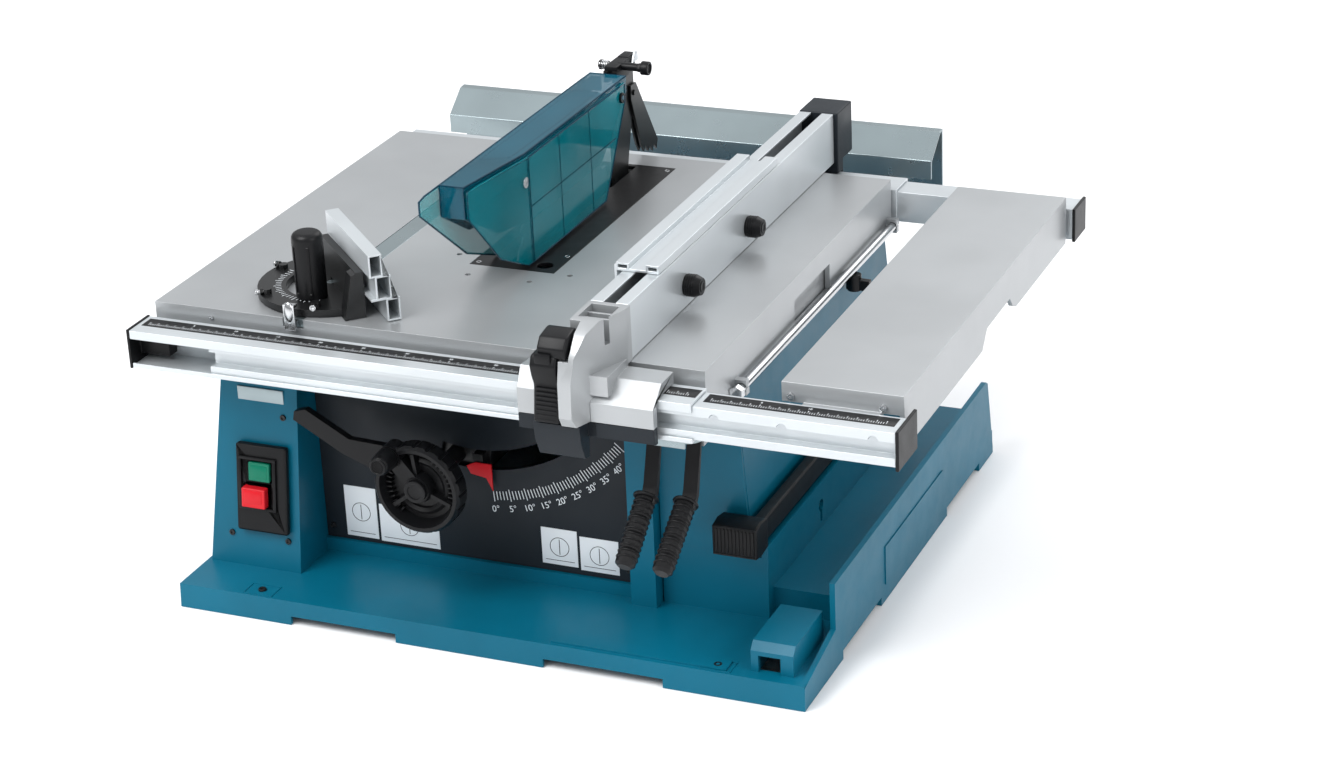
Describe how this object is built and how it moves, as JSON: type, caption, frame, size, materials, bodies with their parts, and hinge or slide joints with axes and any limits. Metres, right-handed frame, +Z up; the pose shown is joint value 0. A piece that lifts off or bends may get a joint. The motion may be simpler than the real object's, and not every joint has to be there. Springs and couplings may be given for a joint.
{
  "type": "table saw",
  "caption": "Portable table saw with a moulded base, cast tables, sliding side extension, tilting blade unit, guard, rip fence and mitre gauge.",
  "frame": {"origin": "centre of the footprint, on the floor under the base", "axes": "+Z up, +Y from the operator's side to the rear, +X to the operator's right"},
  "size_m": [0.8498, 0.847, 0.481],
  "materials": {
    "teal_plastic": "satin moulded",
    "black_plastic": "fine textured",
    "panel_plastic": "fine matt texture",
    "cast_aluminium": "satin machined casting",
    "rail_aluminium": "satin anodised extrusion",
    "zinc_steel": "zinc plated sheet",
    "bright_steel": "turned and polished",
    "black_steel": "black coated",
    "clear_teal": "tinted clear moulding",
    "green_plastic": "glossy",
    "red_plastic": "glossy"
  },
  "bodies": {
    "stand": {"base_housing": "teal_plastic", "front_panel": "panel_plastic", "switch_box": "black_plastic", "main_table": "cast_aluminium", "table_insert": "black_plastic", "front_rail": "rail_aluminium", "front_rail_cap": "black_plastic", "rear_rail": "rail_aluminium", "front_trunnion": "zinc_steel", "rear_trunnion": "zinc_steel", "lever_bracket": "zinc_steel", "stay_rod": "bright_steel"},
    "extension": {"right_table": "cast_aluminium", "front_slide_rail": "rail_aluminium", "rear_slide_rail": "rail_aluminium", "front_slide_cap": "black_plastic", "rear_slide_cap": "black_plastic"},
    "rear_support": {"rear_table": "zinc_steel", "rear_table_bar_left": "bright_steel", "rear_table_bar_right": "bright_steel"},
    "tilt": {"tilt_frame": "black_steel", "tilt_pointer": "red_plastic", "riving_knife": "black_steel", "guard_clamp": "black_plastic", "guard_hood": "clear_teal"},
    "carriage": {"gear_case": "cast_aluminium", "motor_housing": "black_plastic"},
    "blade": {"arbor": "bright_steel", "inner_flange": "bright_steel", "saw_blade": "bright_steel", "outer_flange": "bright_steel", "arbor_nut": "bright_steel"},
    "wheel": {"handwheel": "black_plastic", "handwheel_shaft": "bright_steel"},
    "crank": {"crank_knob": "black_plastic"},
    "screw": {"elevation_screw": "bright_steel"},
    "bevel_lock": {"bevel_lock_lever": "black_plastic"},
    "left_guard": {"side_guard_left": "clear_teal"},
    "right_guard": {"side_guard_right": "clear_teal"},
    "left_pawl": {"pawl_left": "black_steel"},
    "right_pawl": {"pawl_right": "black_steel"},
    "left_lever": {"lock_lever_left": "black_plastic"},
    "right_lever": {"lock_lever_right": "black_plastic"},
    "wing": {"wing_knob": "black_plastic"},
    "fence": {"fence_beam": "rail_aluminium", "fence_facing": "rail_aluminium", "fence_rear_cap": "panel_plastic", "fence_head": "cast_aluminium", "fence_shoe": "panel_plastic"},
    "fence_handle": {"fence_lever": "black_plastic"},
    "front_knob": {"fence_knob_front": "black_plastic"},
    "rear_knob": {"fence_knob_rear": "black_plastic"},
    "gauge": {"mitre_bar": "zinc_steel", "bar_stop": "bright_steel"},
    "gauge_head": {"mitre_head": "black_steel", "mitre_fence": "rail_aluminium"},
    "gauge_knob": {"mitre_knob": "black_plastic"},
    "start": {"start_button": "green_plastic"},
    "stop": {"stop_button": "red_plastic"},
    "stick": {"push_stick": "black_plastic"}
  },
  "joints": [
    {"name": "extension_slide", "type": "slide", "parent": "stand", "child": "extension", "axis": [1, 0, 0], "range_m": [-0.079, 0.233]},
    {"name": "rear_support_slide", "type": "slide", "parent": "stand", "child": "rear_support", "axis": [0, 1, 0], "range_m": [-0.086, 0.024]},
    {"name": "blade_tilt", "type": "hinge", "parent": "stand", "child": "tilt", "pos_m": [-0.0986, -0.02755, 0.344], "axis": [0, -1, 0], "range_deg": [0, 45]},
    {"name": "blade_elevation", "type": "slide", "parent": "tilt", "child": "carriage", "axis": [0, 0, 1], "range_m": [-0.095, 0]},
    {"name": "blade_spin", "type": "hinge", "parent": "carriage", "child": "blade", "pos_m": [-0.0986, 0.01745, 0.304], "axis": [1, 0, 0], "continuous": true},
    {"name": "handwheel_turn", "type": "hinge", "parent": "tilt", "child": "wheel", "pos_m": [-0.1226, -0.31955, 0.166], "axis": [0, 1, 0], "range_deg": [-2885, 5]},
    {"name": "crank_knob_spin", "type": "hinge", "parent": "wheel", "child": "crank", "pos_m": [-0.15153, -0.34255, 0.20047], "axis": [0, 1, 0], "continuous": true},
    {"name": "screw_turn", "type": "hinge", "parent": "tilt", "child": "screw", "pos_m": [-0.1226, -0.14155, 0.2], "axis": [0, 0, 1], "range_deg": [-2885, 5]},
    {"name": "bevel_lock_turn", "type": "hinge", "parent": "tilt", "child": "bevel_lock", "pos_m": [-0.1226, -0.28955, 0.166], "axis": [0, 1, 0], "range_deg": [0, 40]},
    {"name": "left_guard_lift", "type": "hinge", "parent": "tilt", "child": "left_guard", "pos_m": [-0.1239, 0.13045, 0.452], "axis": [-1, 0, 0], "range_deg": [0, 35]},
    {"name": "right_guard_lift", "type": "hinge", "parent": "tilt", "child": "right_guard", "pos_m": [-0.0756, 0.13045, 0.452], "axis": [-1, 0, 0], "range_deg": [0, 35]},
    {"name": "left_pawl_swing", "type": "hinge", "parent": "tilt", "child": "left_pawl", "pos_m": [-0.1016, 0.21245, 0.43], "axis": [1, 0, 0], "range_deg": [0, 40]},
    {"name": "right_pawl_swing", "type": "hinge", "parent": "tilt", "child": "right_pawl", "pos_m": [-0.0956, 0.21245, 0.43], "axis": [1, 0, 0], "range_deg": [0, 40]},
    {"name": "left_lever_swing", "type": "hinge", "parent": "stand", "child": "left_lever", "pos_m": [0.1534, -0.33155, 0.274], "axis": [0, 1, 0], "range_deg": [0, 30]},
    {"name": "right_lever_swing", "type": "hinge", "parent": "stand", "child": "right_lever", "pos_m": [0.1964, -0.33155, 0.276], "axis": [0, -1, 0], "range_deg": [0, 30]},
    {"name": "wing_knob_turn", "type": "hinge", "parent": "stand", "child": "wing", "pos_m": [0.2159, 0.09045, 0.277], "axis": [0, 0, 1], "range_deg": [0, 90]},
    {"name": "fence_slide", "type": "slide", "parent": "stand", "child": "fence", "axis": [1, 0, 0], "range_m": [-0.135, 0.2]},
    {"name": "fence_lever_swing", "type": "hinge", "parent": "fence", "child": "fence_handle", "pos_m": [0.0734, -0.38955, 0.386], "axis": [-1, 0, 0], "range_deg": [0, 45]},
    {"name": "front_knob_turn", "type": "hinge", "parent": "fence", "child": "front_knob", "pos_m": [0.1374, -0.17755, 0.368], "axis": [1, 0, 0], "range_deg": [0, 360]},
    {"name": "rear_knob_turn", "type": "hinge", "parent": "fence", "child": "rear_knob", "pos_m": [0.1374, -0.00255, 0.368], "axis": [1, 0, 0], "range_deg": [0, 360]},
    {"name": "gauge_slide", "type": "slide", "parent": "stand", "child": "gauge", "axis": [0, -1, 0], "range_m": [-0.19, 0.15]},
    {"name": "gauge_swivel", "type": "hinge", "parent": "gauge", "child": "gauge_head", "pos_m": [-0.2526, -0.24155, 0.348], "axis": [0, 0, 1], "range_deg": [-15, 105]},
    {"name": "gauge_knob_turn", "type": "hinge", "parent": "gauge", "child": "gauge_knob", "pos_m": [-0.2526, -0.28355, 0.39], "axis": [0, 0, 1], "range_deg": [0, 360]},
    {"name": "start_press", "type": "slide", "parent": "stand", "child": "start", "axis": [0, 0.9903, -0.1393], "range_m": [0, 0.003], "stiffness_N_per_m": 400},
    {"name": "stop_press", "type": "slide", "parent": "stand", "child": "stop", "axis": [0, 0.9903, -0.1393], "range_m": [0, 0.003], "stiffness_N_per_m": 400},
    {"name": "push_stick_slide", "type": "slide", "parent": "stand", "child": "stick", "axis": [0, -1, 0], "range_m": [0, 0.3]}
  ],
  "couplings": [
    {"joint": "handwheel_turn", "follows": "blade_elevation", "rad_per_m": 529},
    {"joint": "screw_turn", "follows": "blade_elevation", "rad_per_m": 529},
    {"joint": "left_guard_lift", "follows": "blade_tilt", "ratio": 0.6}
  ]
}
